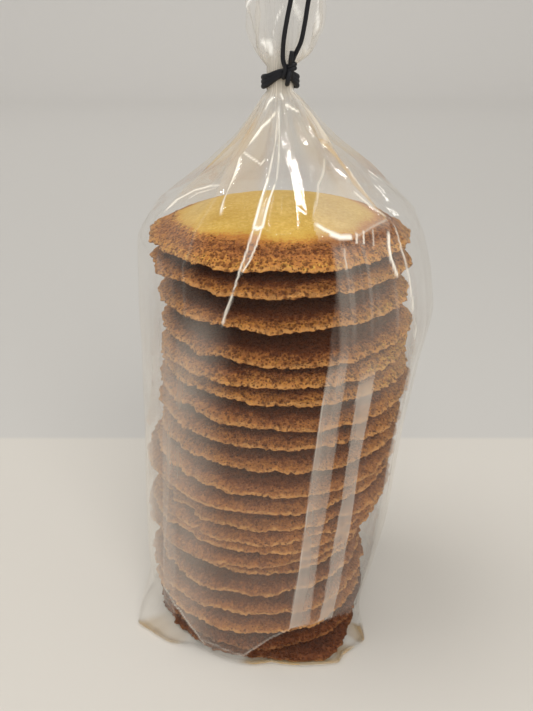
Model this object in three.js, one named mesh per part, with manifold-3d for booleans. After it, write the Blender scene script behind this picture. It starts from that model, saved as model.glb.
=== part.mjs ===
// A clear bag of stacked tuiles, gathered at the neck and tied with a black elastic cord.
//
// Millimetres, +Z up, front towards -Y. The origin is on the table under the middle of the bag's box.
// The sealed bag is one closed solid out to its film: a round stack's body with four long gusset
// creases and four corners at the foot, a pleated shoulder, a tight neck and a flared, ruffled mouth.
// The elastic goes three times round the neck, is knotted in front, and ends in a free loop.

import * as THREE from "three";
import { mergeVertices } from "three/addons/utils/BufferGeometryUtils.js";
import Module from "manifold-3d";

const wasm = await Module();
wasm.setup();

// ---- Driving dimensions -------------------------------------------------------------------------

const RIM_Z = 138; // rim of the top tuile, where the shoulder starts
const NECK = { x: 3.9, r: 3.9, low: 178.4, high: 184.9 }; // the straight, tied neck
const MOUTH_Z = 236; // mean height of the bag's cut edge
const MOUTH_SAG = 3; // how far the cut edge waves up and down
const MOUTH_DIMPLE = 7; // how far the gathered mouth sinks in its middle

// Stations up the bag: height, middle in X, half-width and half-depth of the film.
// It leans to +X on the way up, and bulges on that side just below the shoulder.
const STATIONS = [
  [0, -4.5, 38.6, 39.2],
  [3, -4.0, 39.8, 40.0],
  [12, -2.6, 41.0, 41.0],
  [40, 0.4, 43.4, 41.6],
  [75, 2.5, 44.2, 41.8],
  [100, 4.7, 45.4, 42.2],
  [115, 6.2, 46.8, 42.4],
  [128, 5.4, 45.4, 42.4],
  [RIM_Z, 4.3, 43.4, 42.0],
  [146, 4.6, 39.6, 36.4],
  [150, 5.0, 35.0, 31.8],
  [158, 6.0, 25.4, 23.6],
  [165, 5.3, 16.2, 16.6],
  [170, 4.8, 11.2, 11.8],
  [175, 4.3, 7.0, 7.0],
  [NECK.low, NECK.x, NECK.r, NECK.r],
  [NECK.high, NECK.x, NECK.r, NECK.r],
  [188, 4.6, 7.6, 4.7],
  [194, 4.6, 10.2, 6.4],
  [202, 5.0, 10.2, 7.6],
  [219, 5.4, 13.6, 10.8],
  [MOUTH_Z, 5.6, 17.8, 14.6],
];

// Pleats round the neck, as the azimuths of their inward folds, in degrees from +X towards +Y.
const PLEATS = [-12, 20, 52, 80, 108, 138, 166, 192, 216, 240, 262, 287, 316];
const PANEL_STEPS = [0, 0.12, 0.24, 0.43, 0.62, 0.81]; // fold, its bottom and its two lips, then the panel
const PLEAT_DEPTH = 4.2; // on the shoulder
const PLEAT_SHARE = 0.42; // of the radius, at the neck and in the mouth

// Four long gusset creases stand out a little up the body, and end in the corners of the foot.
const CREASES = [52, 138, 228, 323]; // azimuths
const CREASE_OUT = 1.5;
const CREASE_SPREAD = 12; // degrees
const CORNERS = [
  [46, 7.6],
  [138, 7.6],
  [209, 9.4],
  [305, 10.6],
]; // azimuth and reach
const CORNER_SPREAD = 27; // degrees
const CORNER_Z = 13; // height over which a corner fades into the body

// The elastic cord: three turns that dip at the sides and rise to the knot in front.
const CORD_D = 1.3;
const CORD_SIDES = 8;
const TIE_GAP = 0.3;
const TIE_Z = 180.7; // at the sides
const TIE_RISE = 2.6;
const TIE_TURNS = [-1.2, 0, 1.2];
const PINCH_AZIMUTH = -80; // where the turns are drawn together
const PINCH_SPREAD = 50;
const TURN = { start: -62, sweep: 351, points: 31 }; // it starts and ends behind the knot
const KNOT = new THREE.Vector3(6.8, -5.7, 184.9);
const WRAP = { rx: 0.95, ry: 0.85, rise: 0.3, lifts: [-0.5, 0.5] }; // the knot's two level rings
const LOOP_GAP = 0.3;
const LOOP_TOP = 227;

// ---- Small helpers ------------------------------------------------------------------------------

const radians = (degrees) => (degrees * Math.PI) / 180;
const clamp01 = (t) => Math.min(1, Math.max(0, t));
const smooth = (x, from, to) => {
  const t = clamp01((x - from) / (to - from));
  return t * t * (3 - 2 * t);
};
const apart = (a, b) => Math.abs(((((a - b) % 360) + 540) % 360) - 180); // between azimuths

// One column of the stations at height z, without overshoot between them.
function station(z, column) {
  let i = 1;
  while (i < STATIONS.length - 1 && STATIONS[i][0] < z) i++;
  const [low, high] = [STATIONS[i - 1], STATIONS[i]];
  const t = clamp01((z - low[0]) / (high[0] - low[0]));
  return low[column] + (high[column] - low[column]) * t;
}

// ---- The bag ------------------------------------------------------------------------------------

// How far the film stands out from its round, at a crease or at a corner of the foot.
function standOut(azimuth, z) {
  const body = 1 - smooth(z, RIM_Z - 6, RIM_Z + 14);
  const foot = 1 - smooth(z, 0, CORNER_Z);
  let out = 0;
  for (const crease of CREASES)
    out += CREASE_OUT * body * Math.max(0, 1 - apart(azimuth, crease) / CREASE_SPREAD);
  for (const [corner, reach] of CORNERS)
    out += reach * foot * Math.max(0, 1 - apart(azimuth, corner) / CORNER_SPREAD);
  return out;
}

function pleatDepth(z, radius) {
  const share = PLEAT_SHARE * radius;
  if (z > NECK.high) return share;
  return Math.min(PLEAT_DEPTH, share) * smooth(z, RIM_Z - 4, RIM_Z + 22);
}

// The film at one azimuth and height. fold is 1 at the bottom of a pleat and 0 on its panel.
function filmPoint(azimuth, z, fold) {
  const a = radians(azimuth);
  const width = station(z, 2);
  const depth = station(z, 3);
  const oval = 1 / Math.hypot(Math.cos(a) / width, Math.sin(a) / depth);
  const r = oval + standOut(azimuth, z) - fold * pleatDepth(z, oval);
  return new THREE.Vector3(station(z, 1) + r * Math.cos(a), r * Math.sin(a), z);
}

// The azimuths round one ring, each with how far into a fold it lies.
function ringColumns() {
  const columns = [];
  PLEATS.forEach((start, i) => {
    const next = i + 1 < PLEATS.length ? PLEATS[i + 1] : PLEATS[0] + 360;
    PANEL_STEPS.forEach((share, k) => {
      columns.push({ azimuth: start + share * (next - start), fold: k === 1 ? 1 : 0 });
    });
  });
  return columns;
}

function ringHeights() {
  const body = [0, 1.5, 4, 8, 13, 30, 52, 74, 94, 112, 126, 134, RIM_Z, 142];
  const shoulder = [146, 150, 154, 158, 162, 166, 170, 173, 176];
  const neck = [NECK.low, NECK.high, 186.5, 189, 194];
  const mouth = [200, 208, 217, 227, MOUTH_Z];
  return [...body, ...shoulder, ...neck, ...mouth];
}

// A closed geometry from rings of equal length, capped by a point below and a point above.
function closedLoft(rings, bottom, top) {
  const n = rings[0].length;
  const positions = [bottom, ...rings.flat(), top].flatMap((p) => [p.x, p.y, p.z]);
  const at = (ring, i) => 1 + ring * n + (i % n);
  const last = rings.length - 1;
  const index = [];
  for (let i = 0; i < n; i++) {
    index.push(0, at(0, i + 1), at(0, i));
    for (let ring = 0; ring < last; ring++) {
      index.push(at(ring, i), at(ring, i + 1), at(ring + 1, i + 1));
      index.push(at(ring, i), at(ring + 1, i + 1), at(ring + 1, i));
    }
    index.push(at(last, i), at(last, i + 1), 1 + rings.length * n);
  }
  const geometry = new THREE.BufferGeometry();
  geometry.setAttribute("position", new THREE.Float32BufferAttribute(positions, 3));
  geometry.setIndex(index);
  geometry.computeVertexNormals();
  return geometry;
}

function bagGeometry() {
  const columns = ringColumns();
  const rings = ringHeights().map((z) =>
    columns.map(({ azimuth, fold }) => {
      const point = filmPoint(azimuth, z, fold);
      if (z === MOUTH_Z) point.z += MOUTH_SAG * Math.sin(radians(2 * azimuth + 40));
      return point;
    }),
  );
  const bottom = new THREE.Vector3(station(0, 1), 0, 0);
  const top = new THREE.Vector3(station(MOUTH_Z, 1), 0, MOUTH_Z - MOUTH_DIMPLE);
  return closedLoft(rings, bottom, top);
}

// ---- The elastic --------------------------------------------------------------------------------

const section = new THREE.Shape(
  Array.from({ length: CORD_SIDES }, (_, i) => {
    const a = (i / CORD_SIDES) * 2 * Math.PI;
    return new THREE.Vector2((CORD_D / 2) * Math.cos(a), (CORD_D / 2) * Math.sin(a));
  }),
);

function cordTube(points, steps) {
  const path = new THREE.CatmullRomCurve3(points, false, "centripetal");
  return new THREE.ExtrudeGeometry(section, { steps, extrudePath: path, bevelEnabled: false });
}

// Where the middle of a turn lies on the neck.
function tiePoint(azimuth, turn) {
  const pinch = Math.exp(-((apart(azimuth, PINCH_AZIMUTH) / PINCH_SPREAD) ** 2));
  const r = NECK.r + TIE_GAP + CORD_D / 2;
  const a = radians(azimuth);
  const z = TIE_Z + TIE_RISE * pinch + turn * (1 - 0.6 * pinch);
  return new THREE.Vector3(NECK.x + r * Math.cos(a), r * Math.sin(a), z);
}

function tieTurn(turn) {
  const step = TURN.sweep / (TURN.points - 1);
  const points = Array.from({ length: TURN.points }, (_, i) => tiePoint(TURN.start + i * step, turn));
  return cordTube(points, TURN.points);
}

const atKnot = (x, y, z) => new THREE.Vector3(KNOT.x + x, KNOT.y + y, KNOT.z + z);

// One wrap of the knot: a ring round its strands, a little higher on the right.
function knotWrap(lift) {
  const points = Array.from({ length: 17 }, (_, i) => {
    const a = radians(100 + i * 22);
    return atKnot(WRAP.rx * Math.cos(a), WRAP.ry * Math.sin(a), lift + WRAP.rise * Math.cos(a));
  });
  return cordTube(points, 15);
}

// The left strand straps the turns together; the right one runs up through the wraps.
const LEFT_STRAND = [
  atKnot(-2.1, 0.7, -2.9),
  atKnot(-1.9, -0.4, -1.9),
  atKnot(-1.6, -0.6, -0.4),
  atKnot(-2.2, -0.8, 1.3),
];
const RIGHT_STRAND = [
  atKnot(0.3, 1.1, -2.8),
  atKnot(0.1, 0.1, -1.4),
  atKnot(0.1, -0.1, 0.6),
  atKnot(0.5, -0.5, 2.3),
];
const CUT_END = [atKnot(-0.3, -0.8, 0.8), atKnot(-0.2, -1.8, 2.4), atKnot(0.1, -2.3, 4.3)];

// The free loop leans on the ruffled mouth: up its left strand, round, and down its right one.
function loopPoints() {
  const left = LEFT_STRAND[3];
  const right = RIGHT_STRAND[3];
  const at = (x, y, z) => new THREE.Vector3(x, y, z);
  return [
    at(left.x - 0.1, left.y, left.z + LOOP_GAP),
    at(4.4, -6.8, 188.2),
    at(4.6, -7.9, 192),
    at(5.4, -9.1, 197),
    at(6.4, -9.8, 202),
    at(7.7, -11.2, 210),
    at(8.6, -12.9, 218),
    at(9.0, -14.5, 224),
    at(10.4, -15.3, LOOP_TOP - 0.7),
    at(12.6, -15.3, LOOP_TOP),
    at(14.4, -14.6, LOOP_TOP - 2.2),
    at(14.5, -13.0, 219),
    at(12.9, -11.3, 210.5),
    at(11.0, -9.8, 202),
    at(10.1, -8.8, 196),
    at(9.2, -7.6, 191.4),
    at(8.1, -6.7, 188.9),
    at(right.x + 0.1, right.y, right.z + LOOP_GAP),
  ];
}

// ---- Booleans -----------------------------------------------------------------------------------

function solid(geometry) {
  const bare = geometry.clone();
  bare.deleteAttribute("normal");
  bare.deleteAttribute("uv");
  const merged = mergeVertices(bare, 1e-4);
  return new wasm.Manifold(
    new wasm.Mesh({
      numProp: 3,
      vertProperties: merged.attributes.position.array,
      triVerts: new Uint32Array(merged.index.array),
    }),
  );
}

function geometryOf(manifold) {
  const mesh = manifold.getMesh();
  const geometry = new THREE.BufferGeometry();
  geometry.setAttribute("position", new THREE.BufferAttribute(new Float32Array(mesh.vertProperties), 3));
  geometry.setIndex(new THREE.BufferAttribute(new Uint32Array(mesh.triVerts), 1));
  geometry.computeVertexNormals();
  return geometry;
}

// The turns, the knot and its cut end are one piece of elastic, filled where they enclose a gap.
function tieGeometry() {
  const tubes = [
    ...TIE_TURNS.map(tieTurn),
    ...WRAP.lifts.map(knotWrap),
    ...[LEFT_STRAND, RIGHT_STRAND, CUT_END].map((points) => cordTube(points, 7)),
  ];
  const shells = tubes.map(solid).reduce((whole, tube) => whole.add(tube)).decompose();
  return geometryOf(shells.sort((a, b) => b.volume() - a.volume())[0]);
}

// ---- Materials and assembly ---------------------------------------------------------------------

const film = new THREE.MeshStandardMaterial({
  color: 0xb9854f,
  roughness: 0.15,
  metalness: 0,
  transparent: true,
  opacity: 0.75,
});
const elastic = new THREE.MeshStandardMaterial({ color: 0x17171b, roughness: 0.5, metalness: 0 });

function part(name, geometry, material) {
  const mesh = new THREE.Mesh(geometry, material);
  mesh.name = name;
  return mesh;
}

const bagOfTuiles = new THREE.Group();
const bag = part("bag", bagGeometry(), film);
bagOfTuiles.add(bag);
bagOfTuiles.add(part("tie", tieGeometry(), elastic));
bagOfTuiles.add(part("tie_loop", cordTube(loopPoints(), 44), elastic));

// Stand the bag's box over the origin.
const box = new THREE.Box3().setFromObject(bag);
const middle = box.getCenter(new THREE.Vector3());
bagOfTuiles.position.set(-middle.x, -middle.y, -box.min.z);

export default bagOfTuiles;
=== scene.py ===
"""A clear gusseted bag of stacked tuiles, tied at the neck with a black elastic loop.

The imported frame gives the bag's closed form, the tie and the free loop. This script replaces them with
what the real things are: a thin crinkled film, the tuiles inside it, and a braided elastic cord.
Sizes are in millimetres unless a name says otherwise, and are scaled to metres as meshes are made.
"""

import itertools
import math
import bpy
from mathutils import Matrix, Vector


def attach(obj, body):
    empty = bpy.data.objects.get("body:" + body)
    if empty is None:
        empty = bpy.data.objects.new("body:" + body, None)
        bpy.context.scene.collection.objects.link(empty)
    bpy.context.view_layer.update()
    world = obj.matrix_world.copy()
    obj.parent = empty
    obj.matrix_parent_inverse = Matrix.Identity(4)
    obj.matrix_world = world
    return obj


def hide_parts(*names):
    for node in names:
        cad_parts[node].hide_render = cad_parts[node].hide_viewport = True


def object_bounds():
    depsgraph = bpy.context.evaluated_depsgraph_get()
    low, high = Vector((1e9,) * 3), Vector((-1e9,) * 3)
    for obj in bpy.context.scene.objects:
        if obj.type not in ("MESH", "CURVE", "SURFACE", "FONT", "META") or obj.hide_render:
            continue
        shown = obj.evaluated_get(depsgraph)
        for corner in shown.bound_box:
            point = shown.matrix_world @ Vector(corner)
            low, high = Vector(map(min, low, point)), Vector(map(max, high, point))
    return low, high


bl_info = {
    "name": "Bag of Tuiles",
    "version": (1, 0, 0),
    "blender": (4, 5, 0),
    "location": "3D View > Sidebar > Tuiles",
    "description": "Bakes a stack of tuiles, wraps it in clear film and ties it with elastic",
    "category": "Object",
}

import bmesh
import bpy
import numpy as np
from bpy.props import FloatProperty, FloatVectorProperty, PointerProperty
from mathutils import Vector

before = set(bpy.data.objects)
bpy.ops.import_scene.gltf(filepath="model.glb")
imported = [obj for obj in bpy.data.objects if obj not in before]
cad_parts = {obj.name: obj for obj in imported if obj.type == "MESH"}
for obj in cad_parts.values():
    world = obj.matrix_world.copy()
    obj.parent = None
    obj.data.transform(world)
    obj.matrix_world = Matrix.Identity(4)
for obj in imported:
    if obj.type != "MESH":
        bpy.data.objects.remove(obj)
CAD_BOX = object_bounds()

MM = 0.001
# The bag's own drawing is centred on its foot; the frame is centred on the bag's whole box.
TO_FRAME = -2.762

# ---- The bag's form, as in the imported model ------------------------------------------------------

RIM_Z = 138.0
NECK = {"x": 3.9, "r": 3.9, "low": 178.4, "high": 184.9}
MOUTH_Z = 236.0
MOUTH_SAG = 3.0

# Height, middle in X, half-width and half-depth of the film.
STATIONS = np.array(
    [
        (0, -4.5, 38.6, 39.2),
        (3, -4.0, 39.8, 40.0),
        (12, -2.6, 41.0, 41.0),
        (40, 0.4, 43.4, 41.6),
        (75, 2.5, 44.2, 41.8),
        (100, 4.7, 45.4, 42.2),
        (115, 6.2, 46.8, 42.4),
        (128, 5.4, 45.4, 42.4),
        (RIM_Z, 4.3, 43.4, 42.0),
        (146, 4.6, 39.6, 36.4),
        (150, 5.0, 35.0, 31.8),
        (158, 6.0, 25.4, 23.6),
        (165, 5.3, 16.2, 16.6),
        (170, 4.8, 11.2, 11.8),
        (175, 4.3, 7.0, 7.0),
        (NECK["low"], NECK["x"], NECK["r"], NECK["r"]),
        (NECK["high"], NECK["x"], NECK["r"], NECK["r"]),
        (188, 4.6, 7.6, 4.7),
        (194, 4.6, 10.2, 6.4),
        (202, 5.0, 10.2, 7.6),
        (219, 5.4, 13.6, 10.8),
        (MOUTH_Z, 5.6, 17.8, 14.6),
    ]
)
# Azimuths of the four upright edges, how far they stand out, and over how many degrees.
CREASES = (52, 138, 228, 323)
CREASE_OUT, CREASE_SPREAD = 1.5, 12.0
# The foot's welded corners: azimuth, how far each reaches out, and over how many degrees.
CORNERS = (
    (46, 7.6, 27),
    (138, 7.6, 27),
    (209, 8.4, 27),
    (270, 2.2, 27),
    (305, 10.6, 27),
    (321, 4.6, 12),
)
CORNER_Z = 13.0

# ---- The stack -----------------------------------------------------------------------------------

# Each tuile from the bottom up: height of its front lip, its middle in X, and its radius.
TUILES = (
    (1.0, -1.2, 38.4),
    (5.4, -1.6, 37.8),
    (10.9, -2.6, 38.4),
    (17.9, -3.0, 38.8),
    (26.0, -1.6, 36.6),
    (33.8, -1.8, 36.6),
    (39.6, -2.9, 39.4),
    (45.8, 0.2, 39.6),
    (49.0, 1.6, 40.0),
    (53.2, 2.6, 39.6),
    (61.8, 0.6, 41.6),
    (67.0, 3.2, 40.6),
    (74.9, 4.6, 40.2),
    (83.1, 5.2, 40.2),
    (90.5, 6.2, 40.6),
    (97.6, 6.0, 39.6),
    (104.0, 5.4, 39.4),
    (109.8, 6.4, 39.6),
    (120.6, 5.4, 39.0),
    (130.3, 4.6, 39.4),
    (137.8, 4.0, 39.8),
)
DROOP = 9.4  # from the middle of a tuile's top down to its front lip
DROOP_POWER = 2.3
BLANK_RADIUS = 40.0  # of the disc that each tuile is shaped from
UPRIGHT_Z = 136.0  # up to here the film's sides stand upright round the stack
FOOT_Z = 1.8  # the lowest that a tuile reaches before the welded foot squashes it
FILM_GAP = 0.7  # between a tuile and the film


# ---- Sums ----------------------------------------------------------------------------------------

LATTICE = 32  # cells before the noise repeats


def smooth(x, low, high):
    """0 below low, 1 above high, and an even S between them."""
    t = np.clip((x - low) / (high - low), 0, 1)
    return t * t * (3 - 2 * t)


def fade(x, low, high):
    """1 below low, 0 above high, and an even S between them."""
    return 1 - smooth(x, low, high)


def hump(x, rise, top, brink, end):
    """0 below rise and above end, and 1 from top to brink."""
    return smooth(x, rise, top) * fade(x, brink, end)


def turned(a, b=0.0):
    """Degrees from azimuth b to azimuth a, from -180 to 180."""
    return (a - b + 180) % 360 - 180


def apart(a, b):
    """Degrees between two azimuths, never over 180."""
    return np.abs(turned(a, b))


def about(azimuth, middle, near, far):
    """1 within near degrees of an azimuth, 0 from far degrees on."""
    return fade(apart(azimuth, middle), near, far)


def lumps(points, size, seed):
    """Smooth noise from -1 to 1 at points (n, 3), with lumps about size across."""
    chance = np.random.default_rng(seed).uniform(-1, 1, (LATTICE,) * 3)
    at = points / size
    cell = np.floor(at).astype(int)
    t = at - cell
    t = t * t * (3 - 2 * t)
    total = np.zeros(len(points))
    for corner in itertools.product((0, 1), repeat=3):
        share = np.prod(np.where(corner, t, 1 - t), axis=1)
        total += share * chance[tuple(((cell + corner) % LATTICE).T)]
    return total


def bubbles(points, size, seed):
    """How far each point is from the nearest of scattered bubbles, in cells, and that bubble's chance."""
    rng = np.random.default_rng(seed)
    place = rng.uniform(0, 1, (LATTICE, LATTICE, LATTICE, 3))
    chance = rng.uniform(0, 1, (LATTICE,) * 3)
    at = points / size
    cell = np.floor(at).astype(int)
    nearest = np.full(len(points), 9.0)
    own = np.zeros(len(points))
    for step in itertools.product((-1, 0, 1), repeat=3):
        there = cell + step
        key = tuple((there % LATTICE).T)
        far = np.linalg.norm(at - there - place[key], axis=1)
        closer = far < nearest
        nearest[closer] = far[closer]
        own[closer] = chance[key][closer]
    return nearest, own


# ---- Mesh helpers --------------------------------------------------------------------------------

SEAM_GAP = 1e-6  # metres: vertices closer than this are joined


def mesh_of(name, bm):
    """The mesh of a bmesh, its faces turned outwards."""
    bmesh.ops.recalc_face_normals(bm, faces=bm.faces)
    mesh = bpy.data.meshes.new(name)
    bm.to_mesh(mesh)
    bm.free()
    return mesh


def link(name, data):
    """Puts a new object in the scene."""
    made = bpy.data.objects.new(name, data)
    bpy.context.scene.collection.objects.link(made)
    return made


def smooth_object(mesh, finish):
    """Puts a mesh in the scene, smooth and with its finish."""
    mesh.shade_smooth()
    made = link(mesh.name, mesh)
    mesh.materials.append(finish)
    return made


def piece(mesh, finish, node):
    """Makes one finished piece from a mesh in metres, and sets it on the frame in place of a node."""
    made = smooth_object(mesh, finish)
    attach(made, "root")
    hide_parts(node)
    return made


def places(mesh):
    """A mesh's vertex places as an array, in millimetres."""
    out = np.empty(len(mesh.vertices) * 3)
    mesh.vertices.foreach_get("co", out)
    return out.reshape(-1, 3) / MM


def set_places(mesh, points):
    mesh.vertices.foreach_set("co", (points * MM).ravel())
    mesh.update()


def facing(mesh):
    """A mesh's vertex normals as an array."""
    out = np.empty(len(mesh.vertices) * 3)
    mesh.vertices.foreach_get("normal", out)
    return out.reshape(-1, 3)


def paint(mesh, name, values):
    """Stores one number at each vertex, for the finish to read."""
    layer = mesh.attributes.new(name, "FLOAT", "POINT")
    layer.data.foreach_set("value", values.astype(np.float32))


def tube_grid(around, rings):
    """A grid rolled into a tube: a bmesh, with the column and the ring of each vertex in order."""
    bm = bmesh.new()
    bmesh.ops.create_grid(bm, x_segments=around, y_segments=rings - 1, size=1)
    bm.verts.ensure_lookup_table()
    xy = np.array([v.co[:2] for v in bm.verts])
    column = np.rint((xy[:, 0] + 1) / 2 * around).astype(int)
    ring = np.rint((xy[:, 1] + 1) / 2 * (rings - 1)).astype(int)
    return bm, column, ring


def tube_mesh(name, bm, points, shades):
    """The mesh of a tube grid at points in millimetres, joined along its seam, with its painted shades."""
    for vertex, point in zip(bm.verts, points):
        vertex.co = point * MM
    for shade, values in shades.items():
        layer = bm.verts.layers.float.new(shade)
        for vertex, value in zip(bm.verts, values):
            vertex[layer] = value
    bmesh.ops.remove_doubles(bm, verts=bm.verts, dist=SEAM_GAP)
    return mesh_of(name, bm)


# ---- Finishes ------------------------------------------------------------------------------------


class Value:
    """A socket that takes part in sums: an expression on values adds its Math nodes."""

    def __init__(self, finish, socket):
        self.finish, self.socket = finish, socket

    def sum(self, operation, a, b):
        return self.finish.node("Math", {"operation": operation}, {0: a, 1: b})

    def __add__(self, other):
        return self.sum("ADD", self, other)

    def __radd__(self, other):
        return self.sum("ADD", other, self)

    def __sub__(self, other):
        return self.sum("SUBTRACT", self, other)

    def __rsub__(self, other):
        return self.sum("SUBTRACT", other, self)

    def __mul__(self, other):
        return self.sum("MULTIPLY", self, other)

    def __rmul__(self, other):
        return self.sum("MULTIPLY", other, self)

    def __truediv__(self, other):
        return self.sum("DIVIDE", self, other)

    def __pow__(self, other):
        return self.sum("POWER", self, other)

    def least(self, other):
        return self.sum("MINIMUM", self, other)

    def most(self, other):
        return self.sum("MAXIMUM", self, other)

    def step(self, low, high):
        """0 below low, 1 above high, smooth between."""
        settings = {"interpolation_type": "SMOOTHSTEP"}
        return self.finish.node("MapRange", settings, {0: self, 1: low, 2: high, 3: 0.0, 4: 1.0})


class Finish:
    """A material under construction."""

    def __init__(self, name):
        self.material = bpy.data.materials.new(name)
        self.material.use_nodes = True
        self.tree = self.material.node_tree
        self.tree.nodes.clear()
        self.out = self.tree.nodes.new("ShaderNodeOutputMaterial")

    def node(self, kind, settings=None, sockets=None, out=0):
        """Adds a node: its settings first, then the values or links of its sockets."""
        made = self.tree.nodes.new("ShaderNode" + kind)
        for key, value in (settings or {}).items():
            if key == "stops":
                ramp = made.color_ramp
                while len(ramp.elements) < len(value):
                    ramp.elements.new(0.5)
                for element, (at, colour) in zip(ramp.elements, value):
                    element.position = at
                    element.color = (*colour, 1)
            else:
                setattr(made, key, value)
        for key, value in (sockets or {}).items():
            if isinstance(value, Value):
                self.tree.links.new(value.socket, made.inputs[key])
            else:
                made.inputs[key].default_value = value
        return Value(self, made.outputs[out])

    def attribute(self, name):
        return self.node("Attribute", {"attribute_name": name}, out="Fac")

    def places(self):
        """The piece's own coordinates, in metres."""
        return self.node("TexCoord", out="Object")

    def noise(self, where, size, detail=3.0, roughness=0.55):
        """Cloudy noise from 0 to 1, with clouds about size metres across."""
        sockets = {"Vector": where, "Scale": 1 / size, "Detail": detail, "Roughness": roughness}
        return self.node("TexNoise", {}, sockets)

    def cells(self, where, size, feature="F1", out=0):
        """Cells about size metres across: how far each place is from one's middle or edge."""
        return self.node("TexVoronoi", {"feature": feature}, {"Vector": where, "Scale": 1 / size}, out)

    def blend(self, share, a, b):
        """Colour a where share is 0, and b where it is 1."""
        return self.node("Mix", {"data_type": "RGBA"}, {0: share, 6: a, 7: b}, out=2)

    def bump(self, height, depth, strength):
        return self.node("Bump", {}, {"Height": height, "Distance": depth, "Strength": strength})

    def shader(self, kind, sockets):
        return self.node("Bsdf" + kind, {}, sockets)

    def laid(self, share, under, over):
        """One shader over another, where share is 1."""
        return self.node("MixShader", {}, {0: share, 1: under, 2: over})

    def done(self, shader):
        self.tree.links.new(shader.socket, self.out.inputs["Surface"])
        return self.material


def linear(*srgb):
    """A colour picked on a 0 to 255 scale, as linear values with alpha."""
    share = [c / 255 for c in srgb]
    return (*[c / 12.92 if c <= 0.04045 else ((c + 0.055) / 1.055) ** 2.4 for c in share], 1.0)


# How far baked, from 0 to 1, and the crumb's colour there on a 0 to 255 scale.
CRUMB_SHADES = (
    (0.0, 227, 194, 111),
    (0.19, 207, 165, 78),
    (0.31, 190, 129, 61),
    (0.46, 165, 107, 56),
    (0.7, 108, 60, 32),
    (1.0, 58, 29, 15),
)
DEEPEST_BROWN = 1.5
# Metres from pore to pore, and the least and most share of that which a pore takes up.
PORES = ((0.0019, 0.0, 0.34), (0.0012, 0.08, 0.4), (0.0008, 0.12, 0.42))

CLEAR = (0.995, 0.994, 0.99, 1)
MILKY = (0.95, 0.885, 0.79, 1)
# The grey-tan of painted shade where the film lies in many layers.
LAYER_SHADE_GREY = (0.46, 0.43, 0.37, 1)
# Amber: the welded edge's own colour, and the colour of the painted gold reflections.
AMBER = linear(200, 164, 100)
# Colours of the painted highlights along the creases: warm below the tie, where they throw back the tuiles'
# gold, and cool white above it.
WARM_GLINT, COOL_GLINT = (0.98, 0.93, 0.82, 1), (0.96, 0.96, 0.93, 1)


def baked_crumb():
    """Golden in the middle, brown and porous further out, golden again at the crumbly lip."""
    finish = Finish("baked_crumb")
    settings = bpy.context.scene.tuiles
    where = finish.places()
    cloud = finish.noise(where, 0.011, 3)
    grain = finish.noise(where, 0.0009, 2, 0.6)
    fleck = finish.noise(where, 0.0016, 3, 0.7)
    porous = finish.attribute("porous")
    fine = finish.noise(where, 0.00055, 1)
    mottle = (grain - 0.5) * (0.4 + 0.35 * porous) + (fleck - 0.5) * (0.35 + 0.05 * porous)
    mottle = mottle + (fine - 0.5) * 0.5 * porous
    brown = 0.09 + finish.attribute("brown") * 0.88 + (cloud - 0.5) * 0.3 + mottle
    shades = [(at, linear(*srgb)[:3]) for at, *srgb in CRUMB_SHADES]
    stops = sorted([*shades, (0.09, settings.golden[:]), (0.6, settings.browned[:])])
    baked = finish.node("ValToRGB", {"stops": stops}, {0: brown / DEEPEST_BROWN})
    lip = finish.attribute("lip") * (0.35 + 0.65 * grain.step(0.35, 0.6))
    baked = finish.blend(lip * 0.8, baked, (*settings.lip_colour, 1))
    # Soft-edged pores of three sizes, each with a width of its own.
    pores = 0.0
    for size, least, most in PORES:
        own = finish.node("SeparateColor", {}, {0: finish.cells(where, size, out="Color")})
        width = (least + own * (most - least)) * porous
        ragged = finish.cells(where, size) + (grain - 0.5) * 0.3
        pores = (width - ragged).step(-0.07, 0.09) + pores
    sponge = finish.noise(where, 0.0015, 3, 0.62)
    pores = pores.most((0.44 - sponge).step(-0.005, 0.05) * porous * 0.5).least(1.0)
    deep = finish.attribute("pit").most(pores)
    baked = finish.blend(deep * (0.58 + 0.34 * grain), baked, (*settings.pitted, 1))
    relief = grain * 0.8 + fleck * 0.5 - pores * 1.2
    sockets = {
        "Base Color": baked,
        "Roughness": 0.6 + (grain - 0.5) * 0.3,
        "Specular IOR Level": 0.12,
        "Normal": finish.bump(relief, 0.00045, 0.9),
    }
    return finish.done(finish.shader("Principled", sockets))


def clear_film():
    """Thin clear film: see-through and glossy, milky where it lies double, with painted shade where layers
    crowd, amber at the weld and in painted reflections of gold, and white painted highlights along the
    creases.
    """
    finish = Finish("clear_film")
    where = finish.places()
    crinkle = finish.cells(where, 0.009, "DISTANCE_TO_EDGE").least(0.2)
    ripple = finish.noise(where, 0.005, 2)
    normal = finish.bump(crinkle * 0.5 + ripple * 0.3, 0.0006, 0.4)
    haze = finish.noise(where, 0.02, 3) * 0.8 + 0.6
    above_tie = finish.node("SeparateXYZ", {}, {0: where}, out=2).step(0.172, 0.182)
    layers = (
        ((finish.attribute("milk") * haze).least(1.0), MILKY),
        (finish.attribute("dense"), LAYER_SHADE_GREY),
        (finish.attribute("weld"), AMBER),
        (finish.attribute("worn"), finish.blend(above_tie, WARM_GLINT, COOL_GLINT)),
    )
    body = finish.shader("Transparent", {"Color": CLEAR})
    for share, colour in layers:
        body = finish.laid(share, body, finish.shader("Diffuse", {"Color": colour}))
    gloss = finish.shader("Glossy", {"Color": (1, 0.99, 0.97, 1), "Roughness": 0.035, "Normal": normal})
    turned_away = finish.node("LayerWeight", {}, {"Blend": 0.5, "Normal": normal}, out="Facing")
    one_face = 0.006 + 0.9 * turned_away**5
    shine = 2 * one_face / (1 + one_face) * (1 - finish.attribute("smeared"))
    return finish.done(finish.laid(shine, body, gloss))


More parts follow.
